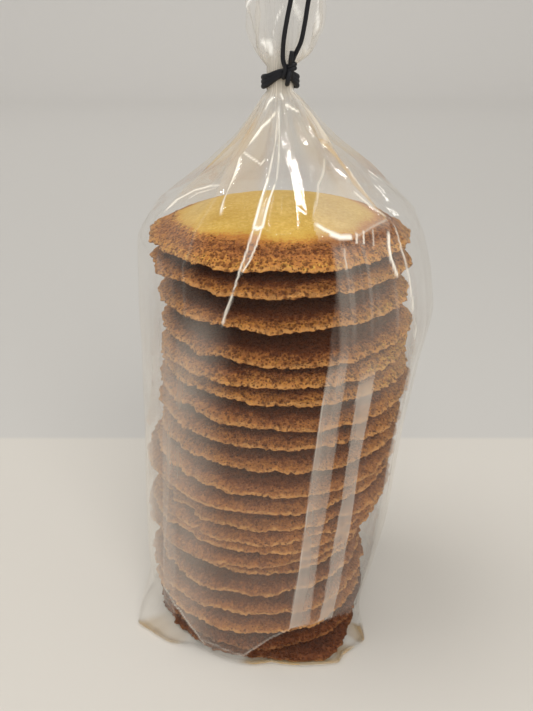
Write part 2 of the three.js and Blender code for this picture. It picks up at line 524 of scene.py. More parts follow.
def braided_elastic():
    """Black covered elastic: satin, with paler rubbed threads on top of the braid."""
    finish = Finish("braided_elastic")
    thread = finish.attribute("thread")
    lint = finish.noise(finish.places(), 0.0004, 2)
    shade = finish.blend(thread * 0.7 + lint * 0.3, linear(4, 5, 9), linear(22, 24, 33))
    sockets = {
        "Base Color": shade,
        "Roughness": 0.5 + lint * 0.2,
        "Specular IOR Level": 0.45,
        "Normal": finish.bump(lint, 0.00005, 0.5),
    }
    return finish.done(finish.shader("Principled", sockets))


def pale_table():
    """A plain pale top that turns greyer beyond its far edge."""
    finish = Finish("pale_table")
    settings = bpy.context.scene.tuile_stage
    depth = finish.node("SeparateXYZ", {}, {0: finish.places()}, out=1)
    beyond = depth.step(settings.edge_y - 0.002, settings.edge_y + 0.002)
    far = finish.blend(depth.step(0.2, 1.6), (*settings.wall_colour, 1), (*settings.far_colour, 1))
    colour = finish.blend(beyond, (*settings.table_colour, 1), far)
    return finish.done(finish.shader("Principled", {"Base Color": colour, "Roughness": 0.45}))


# ---- Tuiles --------------------------------------------------------------------------------------


def tuile_blank(thick, rim, around, fine_from, fine):
    """A plain disc, spun from its half section: fine from fine_from of its radius outwards."""
    lip = BLANK_RADIUS - rim / 2
    inside = BLANK_RADIUS * fine_from
    coarse = np.linspace(0, inside, max(3, int(inside / 2.6)))
    top = [(r, 0.0) for r in (*coarse, *np.arange(inside + fine, lip, fine))]
    edge = [
        (lip + rim / 2 * math.cos(a), -rim / 2 + rim / 2 * math.sin(a))
        for a in np.linspace(math.pi / 2, -math.pi / 2, 7)
    ]
    under = np.linspace(lip - fine, BLANK_RADIUS * 0.86, 6)
    inner = np.linspace(BLANK_RADIUS * 0.7, 0, 4)
    below = [(r, -rim - (thick - rim) * (1 - (r / lip) ** 2)) for r in (*under, *inner)]
    bm = bmesh.new()
    section = [bm.verts.new((r, 0, z)) for r, z in (*top, *edge, *below)]
    edges = [bm.edges.new(pair) for pair in zip(section, section[1:])]
    bmesh.ops.spin(
        bm, geom=section + edges, cent=(0, 0, 0), axis=(0, 0, 1), angle=2 * math.pi,
        steps=around, use_merge=True, use_duplicate=False,
    )  # fmt: skip
    bmesh.ops.remove_doubles(bm, verts=bm.verts, dist=0.001)
    return mesh_of("tuile_blank", bm)


def shape_tuile(mesh, look, seed):
    """Droops, ruffles and pits one tuile's blank, and stores how it is baked, with painted light and shade on
    top.
    """
    flat = places(mesh) * MM
    normal = facing(mesh)
    x, y, z = flat.T
    share = np.hypot(x, y) / BLANK_RADIUS
    way = np.degrees(np.arctan2(y, x))
    a = np.radians(way)
    rim = np.column_stack([np.cos(a) * BLANK_RADIUS + 131.0 * seed, np.sin(a) * BLANK_RADIUS, 0 * a])
    disc = np.column_stack([x + 97.0 * seed, y - 61.0 * seed, z])

    def along(size, number):
        """Noise along the rim, the same from the middle outwards."""
        return lumps(rim, size, seed + number)

    def over(size, number):
        """Noise over the whole disc."""
        return lumps(disc, size, seed + number)

    # The outline: a few broad lobes, then waves, then the crumbs of the lip.
    lobes = 0.9 * along(24, 0) + 0.5 * along(9, 1)
    bites = smooth(along(4.6, 18), 0.5, 0.8)
    crumbs = 0.9 * np.abs(along(4.4, 2)) + 0.55 * np.abs(along(1.8, 3))
    crumbs += 0.65 * np.abs(along(1.0, 17)) + 0.4 * over(0.8, 14) - 0.8
    outer = smooth(share, 0.55, 1.0)
    edge = look["crumbly"] * (crumbs - 1.3 * bites) * smooth(share, 0.96, 1.0)
    grown = 1 + (look["radius"] / BLANK_RADIUS - 1) * share + (lobes * outer + edge) / BLANK_RADIUS
    way_out, reach, spread = look["corner"]
    grown = grown * (1 + reach / BLANK_RADIUS * np.maximum(0, 1 - apart(way, way_out) / spread) * outer)

    # The height: droop to the lip, a slow warp, and a lip that hangs unevenly.
    droop = (look["droop"] + 0.7 * along(34, 4)) * share**DROOP_POWER
    sag = 0.8 * along(7, 5) - 0.5 * np.abs(along(3.0, 6))
    sag -= 0.4 * look["crumbly"] * np.abs(along(1.1, 16)) * smooth(share, 0.94, 1.0)
    height = z - droop + look["tilt"] * x / BLANK_RADIUS + sag * smooth(share, 0.8, 1.0)

    # Burst bubbles, from the brown band outwards.
    band = smooth(share + 0.04 * over(9, 7), look["band"], look["band"] + 0.1)
    far, own = bubbles(disc, 1.7, seed + 8)
    hollow = smooth(0.12 + 0.34 * own - far, 0.0, 0.1) * (own > 0.5) * band
    rough = 0.08 * over(1.3, 10) + 0.08 * over(0.7, 11)
    depth = -0.42 * hollow + rough * (0.15 + band) + 0.1 * over(4.5, 12)
    under = normal[:, 2] < -0.4

    shaped = np.column_stack([x * grown, y * grown, height])
    shaped += normal * (depth * np.where(under, 0.5, 1.0))[:, None] + look["middle"]
    keep_inside(shaped)
    set_places(mesh, shaped)

    # The side away from the oven's middle bakes less.
    pale = look["pale"] * smooth(-x / BLANK_RADIUS, 0.1, 0.8)
    brown = smooth(share - pale + 0.04 * over(12, 13), *look["browned"])
    # Upper tuiles paler on their right: painted light from the right.
    brown = brown * (1 - look["right"] * smooth(x / BLANK_RADIUS, 0.15, 0.8))
    # Paler out towards the lip: partly the crust's own gold, partly painted light where light falls on the
    # outer part of each brim.
    outwards = share + 0.015 * over(5, 19)
    brown = brown * look["crust"] * (1 - look["fades"] * smooth(outwards, look["fade_from"], 0.98))
    # Darker where the next tuile covers it: painted shade.
    brown = brown + look["covered_shade"] * fade(outwards, 0.85, 0.93)
    brown = np.where(under, 0.85, brown)
    lip = smooth(share + 0.01 * over(2.5, 15), look["lip_from"], 1.0) * ~under * look["lip"]
    crusty = smooth(brown, 0.15, 0.42)
    paint(mesh, "brown", brown + look["baked"])
    paint(mesh, "pit", hollow * ~under * look["porous"] ** 2 * crusty)
    paint(mesh, "lip", lip)
    paint(mesh, "porous", band * look["porous"] * np.where(under, 0.5, 1.0) * (1 - 0.2 * lip) * crusty)


def keep_inside(points):
    """Draws in what would poke through the film's sides, and squashes what would sink through its foot."""
    low = points[:, 2] < FOOT_Z
    points[low, 2] = FOOT_Z + (points[low, 2] - FOOT_Z) * 0.5
    z = np.clip(points[:, 2], 0, UPRIGHT_Z)
    x = points[:, 0] - film_station(z, 1) - TO_FRAME
    azimuth = np.degrees(np.arctan2(points[:, 1], x))
    room = oval(azimuth, z) - FILM_GAP + corner_reach(azimuth, z)
    draw = np.where(points[:, 2] < UPRIGHT_Z, np.minimum(1, room / np.hypot(x, points[:, 1])), 1)
    points[:, 0] += x * (draw - 1)
    points[:, 1] *= draw


def tuile_look(number, rng, rim):
    """What tells one tuile from the next: its place, its droop, how it is baked, and its painted light and
    shade.
    """
    lip, across, radius = TUILES[number - 1]
    top, lowest, shaded = number == len(TUILES), number == 1, lip < 6

    def rising(*heights_and_values):
        """A value that changes with the height of the lip."""
        return np.interp(lip, *heights_and_values)

    return {
        "radius": radius,
        "middle": (across + TO_FRAME, rng.uniform(-0.7, 0.7) - 1.8 * shaded, lip + DROOP),
        "droop": DROOP - rim,
        "tilt": 0.0 if top else rng.uniform(-0.6, 0.6),
        # The two lowest lie in shadow: their darker bake and dimmer lip are painted shade. Below 60 mm every
        # tuile is a little darker.
        "baked": 0.02 if top else rng.uniform(-0.02, 0.12) + 0.06 * (lip < 60) + 0.32 * shaded,
        "crust": 0.79 if top else 1.0,
        "fades": rising((60, 110), (0.29, 0.46)),
        "fade_from": rising((60, 80, 110, 120), (0.89, 0.88, 0.86, 0.84)),
        "covered_shade": 0.0 if top else rising((60, 110), (0.14, 0.26)),
        "band": 0.71 if top else 0.68,
        "porous": 0.9 if shaded else rising((60, 105), (0.62, 1.0)),
        "lip": 0.25 if shaded else 1.0,
        "lip_from": rising((60, 100), (0.985, 0.976)),
        "crumbly": rising((30, 100), (0.8, 1.0)),
        "pale": 0.05 if top else 0.0,
        "browned": (0.6, 0.87) if top else (0.35, 0.6),
        # Paler on the right of the upper tuiles: painted light.
        "right": rising((70, 95, 130, 136), (0.0, 0.3, 0.3, 0.0)),
        # The lowest one is misshapen: it fills the bag's front corner.
        "corner": (-60, 7.5, 26) if lowest else (0, 0.0, 1),
    }


def bake_tuiles(settings):
    """One piece for each tuile, from the bottom of the stack to the top."""
    crumb = baked_crumb()
    thick, rim = settings.thickness / MM, settings.rim / MM
    blank = tuile_blank(thick, rim, around=620, fine_from=0.71, fine=0.46)
    shown = tuile_blank(thick, rim, around=740, fine_from=0.3, fine=0.5)
    rng = np.random.default_rng(5)
    for number in range(1, len(TUILES) + 1):
        mesh = (shown if number == len(TUILES) else blank).copy()
        mesh.name = f"tuile_{number:02d}"
        shape_tuile(mesh, tuile_look(number, rng, rim), number)
        piece(mesh, crumb, "bag")
    bpy.data.meshes.remove(blank)
    bpy.data.meshes.remove(shown)


# ---- Film ----------------------------------------------------------------------------------------

# The gathers of the shoulder, in order round the bag: how far each draws in, then its azimuth at the
# heights of FOLD_Z. Crests draw in nothing; the film runs flat from one line to the next.
FOLD_Z = (138, 147, 154, 162, 170, 178)
FOLDS = (
    (2.6, -172, -171, -169, -172, -173, -172),
    (0.0, -158, -156, -160, -163, -160, -160),
    (2.4, -144, -141, -142, -152, -152, -150),
    (0.0, -131, -131, -131, -141, -142, -140),
    (1.8, -125, -126, -127, -136, -132, -131),
    (0.0, -119, -120, -124, -131, -124, -122),
    (1.8, -112, -112, -113, -117, -112, -117),
    (0.0, -105.6, -105, -105, -106, -106, -112),
    (1.3, -105, -101.5, -101.5, -102.5, -103.5, -110),
    (0.0, -104.4, -98, -98, -99, -101, -108),
    (1.4, -96, -91.5, -93, -96.5, -100, -105),
    (0.0, -83, -83.5, -86.4, -90.8, -97, -100),
    (0.0, -76.5, -77.5, -79.6, -82, -89.5, -92),
    (1.8, -74, -75, -75, -73.5, -72, -70),
    (0.0, -76, -77, -73, -59, -44, -32),
    (2.8, -58, -58, -56, -49, -36, -23),
    (0.0, -41, -40, -43, -43, -30, -14),
    (2.8, -26, -27, -29, -27, -17, -4),
    (0.0, -6, -5, -4, -1, 2, 8),
    (3.2, 14, 12, 13, 15, 16, 20),
    (0.0, 33, 34, 32, 31, 34, 36),
    (2.6, 46, 47, 48, 47, 49, 50),
    (0.0, 60, 62, 66, 65, 64, 63),
    (3.2, 84, 82, 80, 79, 80, 80),
    (0.0, 98, 95, 96, 98, 97, 95),
    (2.8, 112, 113, 110, 111, 112, 112),
    (0.0, 130, 128, 126, 127, 128, 127),
    (3.2, 146, 147, 145, 143, 142, 143),
    (0.0, 170, 168, 166, 162, 161, 163),
)

# Sharp creases that stand up: half-width, how far out, how strong the white painted highlight along them is,
# and a line of points as azimuth and height.
CREASE_LINES = (
    # From the tie down the left of the front, with a spur at its elbow.
    (0.55, 0.4, 0.95, ((-101, 174), (-121.3, 169.8), (-128.7, 165.8), (-134, 163.8))),
    (0.45, 0.35, 0.95, ((-134, 164.4), (-128.9, 160.7), (-126.7, 156.9), (-125.2, 153.4), (-120.6, 149.2))),
    (0.3, 0.25, 0.75, ((-134, 164.3), (-121.8, 162.3), (-112, 161), (-108, 162.6))),
    # Round the left shoulder.
    (0.45, 0.35, 0.8, ((-154.9, 147), (-155.7, 150.5), (-151.8, 153.1), (-144, 154.7), (-131, 156))),
    (0.3, 0.2, 0.5, ((-149.9, 150.8), (-147.7, 152.7), (-142.7, 153.7), (-134, 155.2))),
    # The pair down the middle: fine above, wide over the top tuile, and joined below it.
    (0.3, 0.3, 0.55, ((-99, 176), (-100, 168), (-103, 162), (-104, 158))),
    (0.34, 0.35, 0.9, ((-104, 159.2), (-104.1, 154), (-103.8, 151))),
    (0.42, 0.35, 1.0, ((-104.1, 154.6), (-103.9, 151), (-103.6, 147.4))),
    (0.27, 0.35, 0.8, ((-103.6, 148), (-103.8, 145), (-104.7, 141), (-106, 137), (-109.3, 131.4))),
    (0.4, 0.35, 0.75, ((-108.5, 132.5), (-112.3, 126.4), (-114.4, 122.2))),
    (0.26, 0.3, 0.5, ((-96, 176), (-96.5, 168), (-97.4, 161), (-98.1, 157))),
    (0.34, 0.35, 0.9, ((-98.4, 157.4), (-99.8, 153.5), (-99.9, 150.8))),
    (0.42, 0.35, 1.0, ((-99.8, 154), (-99.9, 150.5), (-99.7, 147.6))),
    (0.27, 0.35, 0.8, ((-99.8, 148.6), (-100.7, 144.5), (-102.4, 140.7), (-105, 137.4))),
    (0.6, 0.1, 1.0, ((-104.2, 147.9), (-101.8, 147.4), (-99.4, 148.1))),
    # The pocket over the right of the top tuile: its sides, and the painted highlight of the fold along its
    # foot.
    (0.34, 0.3, 0.3, ((-22, 176), (-38, 166), (-59, 162), (-70.8, 156.8), (-74.7, 152.3), (-78, 148.4))),
    (0.62, 0.3, 0.95, ((-77, 148.8), (-72.8, 147.2), (-69.7, 146.3), (-66.4, 145.4), (-62.3, 144.8))),
    (1.1, 0.3, 1.0, ((-71, 146.4), (-66.4, 145.2), (-60.5, 144.9))),
    (0.5, 0.3, 0.22, ((-61, 145), (-57.4, 145.2), (-49.5, 146.3), (-38.7, 147.6))),
    (0.34, 0.3, 0.6, ((-48.4, 154.6), (-44.1, 150.8), (-38.7, 147.5))),
    (0.3, 0.3, 0.35, ((-20, 176), (-33, 169), (-43.8, 157.9), (-42.3, 153.6), (-35.9, 148.4))),
    # Fine upright glints under that fold.
    (0.4, 0.1, 0.7, ((-58.5, 145.8), (-60.1, 143.2))),
    (0.34, 0.1, 0.75, ((-54.7, 146.1), (-57.1, 142.8))),
    (0.3, 0.1, 0.45, ((-49.5, 146.1), (-53, 141.8))),
    (0.3, 0.1, 0.35, ((-66, 143), (-67, 137.5))),
    # Down the right front edge.
    (0.5, 0.4, 1.0, ((-42.4, 145.4), (-45.6, 141.6), (-46.9, 138.6), (-46.1, 135.9), (-45, 132.8))),
    (0.34, 0.3, 0.6, ((-38, 147), (-40.5, 140), (-40, 130), (-38.5, 120))),
    (0.32, 0.3, 0.4, ((-39, 122), (-38, 116), (-33, 98), (-29, 75), (-28, 52), (-22, 23))),
    # The left edge of the front, and the welded arches at the foot.
    (0.32, 0.3, 0.08, ((-131, 158), (-127, 141), (-128, 130), (-129, 122))),
    (0.5, 0.1, 0.0, ((-129, 124), (-133, 98), (-139, 52), (-145, 18))),
    (0.4, 0.2, 0.36, ((-147, 19.5), (-137, 19), (-129.4, 16), (-123.9, 11), (-117, 5.4), (-115, 4))),
    (0.4, 0.2, 0.2, ((-120, 6.4), (-109.8, 6), (-102, 5), (-94, 4.4))),
    (0.4, 0.15, 0.2, ((-97, 3), (-92.8, 6.5), (-84.5, 11.6), (-76, 14.6))),
    (0.3, 0.15, 0.14, ((-80, 13.2), (-74.9, 14.9), (-60.4, 14.3), (-50, 12.2))),
    # The left edge of the first doubled strip.
    (0.22, 0.1, 0.2, ((-76, 17), (-76.5, 27), (-76, 47), (-75.3, 66), (-75, 92), (-74.6, 119))),
    # Close under the tie.
    (0.35, 0.1, 1.0, ((-90, 178), (-84, 176.4))),
    (0.45, 0.1, 1.0, ((-131, 173.4), (-124, 176), (-112, 177.4))),
    (0.4, 0.1, 1.0, ((-36, 179), (-18, 178), (0, 176.6))),
    (0.9, 0.1, 1.0, ((-82, 175.3), (-72, 174.8))),
    (0.55, 0.1, 1.0, ((-74, 174.8), (-64, 174.1), (-52, 173.2))),
    # In the mouth above it.
    (0.32, 0.2, 0.8, ((-168, 214), (-171, 203), (-176, 199.5), (-186, 197.2))),
    (0.28, 0.2, 0.8, ((-24, 214), (-21, 201), (-15.7, 197), (-14, 193))),
    (0.8, 0.2, 1.0, ((-76, 207), (-72, 201), (-62, 198.5), (-50, 196.4))),
    (1.2, 0.2, 1.0, ((-142, 205), (-127, 202.8), (-112, 204))),
    (0.7, 0.2, 1.0, ((-143, 192), (-137, 190.2), (-124, 188))),
    (0.8, 0.1, 1.0, ((-142, 191.6), (-128, 191), (-124, 188.4))),
    (0.25, 0.2, 0.8, ((-90, 201), (-104, 197), (-120, 192.6))),
    (0.35, 0.2, 0.9, ((-42, 196.6), (-34, 194.5), (-26, 192.6))),
    (0.45, 0.1, 1.0, ((-15, 187.4), (-8, 186))),
    (0.9, 0.1, 0.3, ((-26, 191), (-19, 188.4))),
)


def film_station(z, column):
    """The stations with their corners eased, but for the tied neck."""
    eased = 3.0 - 2.0 * smooth(z, 120, UPRIGHT_Z)
    eased = eased * smooth(np.abs(z - (NECK["low"] + NECK["high"]) / 2), 3.4, 6.0)
    near = [z + eased * step for step in np.linspace(-1, 1, 9)]
    return np.mean([np.interp(at, STATIONS[:, 0], STATIONS[:, column]) for at in near], axis=0)


def oval(azimuth, z):
    """The radius of the film's plain oval section."""
    a = np.radians(azimuth)
    return 1 / np.hypot(np.cos(a) / film_station(z, 2), np.sin(a) / film_station(z, 3))


def corner_reach(azimuth, z):
    """How far the welded corners of the foot reach past the oval."""
    reached = [reach * np.maximum(0, 1 - apart(azimuth, way) / spread) for way, reach, spread in CORNERS]
    return fade(z, 0, CORNER_Z) * sum(reached)


def gathered(azimuth, z):
    """The radius where the film runs straight between the lines of FOLDS, row by row."""
    radius = np.empty(len(z))
    for height in np.unique(z):
        row = np.flatnonzero(z == height)
        at = np.array([np.interp(height, FOLD_Z, fold[1:]) for fold in FOLDS])
        plain = oval(at, np.full(len(at), height))
        crowd = min(1.0, plain.mean() / 14)
        draw = np.array([fold[0] for fold in FOLDS]) * crowd * hump(height, 139, 158, 173, NECK["low"])
        at = np.concatenate([at - 360, at, at + 360])
        crest = np.tile(plain - draw, 3)
        a = turned(azimuth[row])
        left = np.searchsorted(at, a, side="right") - 1
        a1, a2, a = np.radians(at[left]), np.radians(at[left + 1]), np.radians(a)
        r1, r2 = crest[left], crest[left + 1]
        radius[row] = r1 * r2 * np.sin(a2 - a1) / (r1 * np.sin(a - a1) + r2 * np.sin(a2 - a))
    return radius


def off_line(azimuth, z, radius, points):
    """Distance from each place to a line on the film, and how far along it that is, from 0 to 1."""
    nearest = np.full(len(z), np.inf)
    along = np.zeros(len(z))
    steps = len(points) - 1
    for n, ((a1, z1), (a2, z2)) in enumerate(zip(points, points[1:])):
        # The shoulder slants, so its film is longer than it is high.
        slant = 1.5 if z1 + z2 > 2 * RIM_Z else 1.0
        u, v = np.radians(turned(azimuth, a1)) * radius, (z - z1) * slant
        du, dv = np.radians(turned(a2, a1)) * radius, (z2 - z1) * slant
        t = np.clip((u * du + v * dv) / (du * du + dv * dv), 0, 1)
        far = np.hypot(u - t * du, v - t * dv)
        closer = far < nearest
        nearest[closer] = far[closer]
        along[closer] = ((n + t) / steps)[closer]
    return nearest, along


def facets(azimuth, z, wide, tall, seed):
    """Noise from -1 to 1 that is flat between the points of a slanted lattice, as crumpled film is."""
    columns, rows = max(3, int(round(360 / wide))), 64
    chance = np.random.default_rng(seed).uniform(-1, 1, (columns, rows))
    v = z / tall + 3
    u = (azimuth % 360) / 360 * columns + 0.5 * v
    i, j = np.floor(u).astype(int), np.floor(v).astype(int)
    fu, fv = u - i, v - j
    c00, c01, c10, c11 = (
        chance[(i + right) % columns, (j + up) % rows] for right, up in itertools.product((0, 1), repeat=2)
    )
    low = c00 + fu * (c10 - c00) + fv * (c01 - c00)
    high = c11 + (1 - fu) * (c01 - c11) + (1 - fv) * (c10 - c11)
    return np.where(fu + fv > 1, high, low)


def film_place(azimuth, z):
    """The film at each azimuth and height in millimetres, and how strong the painted highlight along its
    creases is.
    """

    def crumpled(wide, tall, seed):
        return facets(azimuth, z, wide, tall, seed)

    plain = oval(azimuth, z)
    flat = hump(z, RIM_Z - 2, RIM_Z + 10, 177, NECK["low"]) * (z < NECK["low"])
    radius = plain + (gathered(azimuth, np.clip(z, FOLD_Z[0], FOLD_Z[-1])) - plain) * flat
    body = fade(z, RIM_Z - 6, RIM_Z + 14)
    for crease in CREASES:
        radius += CREASE_OUT * body * np.maximum(0, 1 - apart(azimuth, crease) / CREASE_SPREAD)
    radius += corner_reach(azimuth, z)

    crumple = hump(z, RIM_Z - 18, RIM_Z + 8, 160, 176)
    crumple = crumple * (1 - about(azimuth, -88, 10, 22)) * (1 - about(azimuth, -60, 12, 24))
    radius += crumple * (0.4 * crumpled(14, 26, 3) + 0.12 * crumpled(6, 12, 4))
    slack = hump(z, 4, 20, RIM_Z - 16, RIM_Z)
    radius += slack * (0.3 * crumpled(30, 38, 5) + 0.12 * crumpled(11, 17, 6))

    # Fine gathers close in to the tie, and loose ruffles where the film fans out above it.
    a = np.radians(azimuth)
    close = hump(z, 158, 172, 176, NECK["low"])
    radius += 0.4 * close * (np.abs(np.sin(11 * a + 1.3 + 0.9 * crumpled(40, 9, 8))) - 0.5)
    fan = smooth(z, NECK["high"], NECK["high"] + 9)
    drift = 0.8 * crumpled(60, 14, 13)
    ruffle = 0.12 * np.sin(3 * a + 0.7 + drift) + 0.26 * (np.abs(np.sin(4 * a - 0.5 + drift)) - 0.6)
    ruffle += 0.14 * (np.abs(np.sin(7.5 * a + 2 - drift)) - 0.6)
    radius *= 1 + fan * (ruffle - 0.06)
    radius += 0.9 * fan * crumpled(28, 8, 9)

    worn = np.zeros(len(z))
    for half, out, highlight_share, points in CREASE_LINES:
        far, along = off_line(azimuth, z, plain, points)
        ends = hump(along, 0, 0.12, 0.88, 1)
        radius += out * ends * np.clip(1 - far / half / 1.8, 0, 1)
        worn = np.maximum(worn, highlight_share * ends * np.clip(1.4 - 1.25 * far / half, 0, 1))
    x = film_station(z, 1) + TO_FRAME + radius * np.cos(a)
    return np.column_stack([x, radius * np.sin(a), z]), worn


def between(azimuth, z, heights, left, right):
    """1 between two slanting lines on the film, each given by its azimuths at some heights."""
    return (azimuth > np.interp(z, heights, left)) & (azimuth < np.interp(z, heights, right))


# Lines across the film, as azimuths and their heights: below them the welded foot is a single clear skin.
LEFT_ARCH = ((-146, -137, -129.4, -123.9, -117, -113), (19.5, 19, 16, 11, 5.4, 0))
RIGHT_ARCH = ((-96, -92.8, -84.5, -74.9, -60.4, -44.6, -32), (0, 6.5, 11.6, 14.9, 14.3, 11, 8))
# Upright bands, as heights and the azimuths of their two sides.
FRONT = (
    (16, 52, 98, 128, 141, 156),
    (-145, -139, -133, -128, -127, -131),
    (-22, -28, -33, -40, -39, -43),
)
STRIP_ONE = (
    (17, 27, 47, 66, 92, 119, 143),
    (-76, -76.5, -76, -75.3, -75, -74.6, -69.9),
    (-66.5, -67.3, -68.2, -66.2, -66.6, -67.6, -62),
)
STRIP_TWO = (
    (14, 24, 43, 63, 90, 110),
    (-61.5, -60.8, -61.5, -60, -60.3, -61.6),
    (-52.5, -52.5, -53.8, -53, -53, -54),
)
RIBBON = (
    (137.4, 141, 144.7, 148, 151, 156),
    (-105.8, -104.7, -103.8, -103.6, -103.9, -104),
    (-105, -102.4, -100.7, -99.8, -99.9, -98.8),
)
# A fold on the right of the shoulder, along which the gold of the top tuile is painted as a reflection.
GOLD_GLEAM_FOLD = ((-40.5, 166), (-44, 160.8), (-45, 156.1), (-42.1, 151.8), (-40.4, 147.8))
POCKET = (
    (145, 148, 154.5, 162, 166),
    (-76, -77.5, -73, -59, -47),
    (-41, -40, -43, -43, -38),
)
# Where fine upright glints are painted as milky streaks: heights and the azimuths of the two sides.
GLINT_STREAKS = ((100, 146), (-66, -70), (-38, -41))


def film_foot(azimuth, z):
    """Where the foot is a single clear skin."""
    arches = (np.interp(azimuth, *arch, left=0, right=0) for arch in (LEFT_ARCH, RIGHT_ARCH))
    return z < np.maximum(*arches)


def film_milk(azimuth, z, settings):
    """How milky the film is: the sides, two doubled strips, low down, and where it is gathered."""
    low = fade(z, 30, 122)
    # Milky low down; the extra haze over the left of the front is a painted reflection of light from the left.
    milk = settings.milk * (0.02 + 0.98 * low) + 0.06 * low * fade(azimuth, -125, -80)
    milk = milk + 0.28 * fade(azimuth, -135, -108) * fade(z, 116, 134) * (1 - 0.6 * low)
    milk = milk + 0.11 * smooth(azimuth, -72, -70) * hump(z, 84, 110, 141, 146)
    sides = settings.gusset_milk * (1 - 0.45 * smooth(-z, -40, 0)) * (1 - 0.8 * smooth(z, 96, 126))
    sides = sides * (1 + 0.18 * facets(azimuth, z, 3.2, 90, 21)) * (1 - 0.75 * hump(azimuth, 44, 56, 134, 146))
    left, right = (np.interp(z, FRONT[0], side) for side in FRONT[1:])
    front = np.where(azimuth < right, smooth(azimuth, left - 5, left + 9), 0)
    milk = sides + (milk - sides) * front
    one, two = strips(azimuth, z)
    uneven = 1.2 - 0.5 * smooth(azimuth, -75, -66) + 0.15 * facets(azimuth, z, 2.4, 120, 22)
    milk = milk + settings.strip_milk * uneven * (one + 1.6 * two)
    # The facet over the right front, the ribbon down the middle, and fine upright glints below, painted as
    # milky streaks.
    milk = milk + 0.17 * between(azimuth, z, *POCKET) * hump(z, 144, 147, 152, 166)
    ribbon = between(azimuth, z, *RIBBON) * hump(z, 137, 138, 151, 156)
    milk = milk + (0.14 + 0.14 * smooth(z, 147, 148)) * ribbon
    glint_streaks = np.maximum(0, facets(azimuth, z, 1.0, 40, 12)) * between(azimuth, z, *GLINT_STREAKS)
    milk = milk + 0.13 * glint_streaks * hump(z, 112, 128, 144, 147)
    milk = np.where(film_foot(azimuth, z), 0.0, milk)
    milk = milk * np.where(azimuth < -146, smooth(z, 2, 20), 1)
    strand = np.maximum(0, facets(azimuth, z, 5, 34, 31))
    high = smooth(z, 160, 176) * (1 - 0.6 * smooth(z, 188, 196))
    return np.minimum(milk + high * (0.01 + 0.16 * strand) + (0.3 + 0.3 * strand) * film_tied(z), 0.9)


def strips(azimuth, z):
    """Where the film lies double, in two upright strips."""
    one = between(azimuth, z, *STRIP_ONE) * (1 - 0.85 * smooth(z, 108, 116)) * (z < STRIP_ONE[0][-1])
    return one, between(azimuth, z, *STRIP_TWO) * fade(z, 100, 110)


def film_tied(z):
    """Where the film is bunched up under the tie."""
    return hump(z, 175, 179, 184, 191)


def film_layer_shade(azimuth, z):
    """Where many layers lie one behind another and dull what is behind them, with painted shade: a grey-tan
    coat in the doubled strips, over the shoulder and under the tie.
    """
    crowd = smooth(z, 162, 177) * (1 - 0.75 * smooth(z, 186, 200))
    strand = facets(azimuth, z, 8, 26, 32)
    dense = 0.06 * sum(strips(azimuth, z)) * ~film_foot(azimuth, z) + 0.07 * hump(z, 148, 156, 166, 174)
    return dense + crowd * np.clip(0.1 + 0.28 * strand, 0, 1) + 0.3 * film_tied(z)


def film_smeared(azimuth, z):
    """Where crumbs have greased the film, so that it mirrors little."""
    over_rim = hump(z, 143.5, 145.5, 147.6, 149) * about(azimuth, -86, 18, 24)
    fold = about(azimuth, -70.4, 3, 4.5) * fade(np.abs(z - 160.6), 3, 5)
    elbow = about(azimuth, -124.6, 2, 3.4) * fade(np.abs(z - 158), 3, 5)
    return np.minimum(0.9 * over_rim + 0.8 * fold + 0.7 * elbow, 0.95)


def film_weld(azimuth, z):
    """The amber edge of the welded foot, at its corners."""
    left = 0.8 * about(azimuth, -140, 8, 14)
    right = np.maximum(about(azimuth, -52, 5, 8), about(azimuth, -37, 3, 5))
    front = 0.9 * hump(azimuth, -98, -92, -62, -56)
    broken = 0.7 + 0.3 * facets(azimuth, z, 3, 5, 41)
    return 0.9 * fade(z, 0.6, 2.6) * np.minimum(left + right + front, 1) * broken


def film_gold_reflection(azimuth, z):
    """Painted reflection: where the folds of the shoulder throw back the gold of the top tuile, laid on in
    amber.
    """
    across = about(azimuth, -132, 20, 32) + 0.7 * about(azimuth, -50, 16, 30)
    patches = 0.6 + 0.4 * facets(azimuth, z, 9, 12, 51)
    fold, _ = off_line(azimuth, z, oval(azimuth, z), GOLD_GLEAM_FOLD)
    return 0.32 * hump(z, 147, 155, 168, 176) * across * patches + 0.34 * np.clip(1.3 - fold / 0.7, 0, 1)


FILM_AROUND = 440
FOOT_RINGS = (0.0, 0.35, 0.7, 0.93)  # of the foot's radius


def film_heights():
    """Close rings at the foot and over the shoulder, where the creases are, and wider ones down the sides."""
    marks = (0.4, 20, 120, 132, 142, 151.5, 165, NECK["low"], NECK["high"], MOUTH_Z)
    steps = (28, 24, 14, 14, 31, 36, 25, 6, 41)
    runs = [np.linspace(a, b, n, endpoint=False) for a, b, n in zip(marks, marks[1:], steps)]
    return np.array([*np.concatenate(runs), MOUTH_Z])


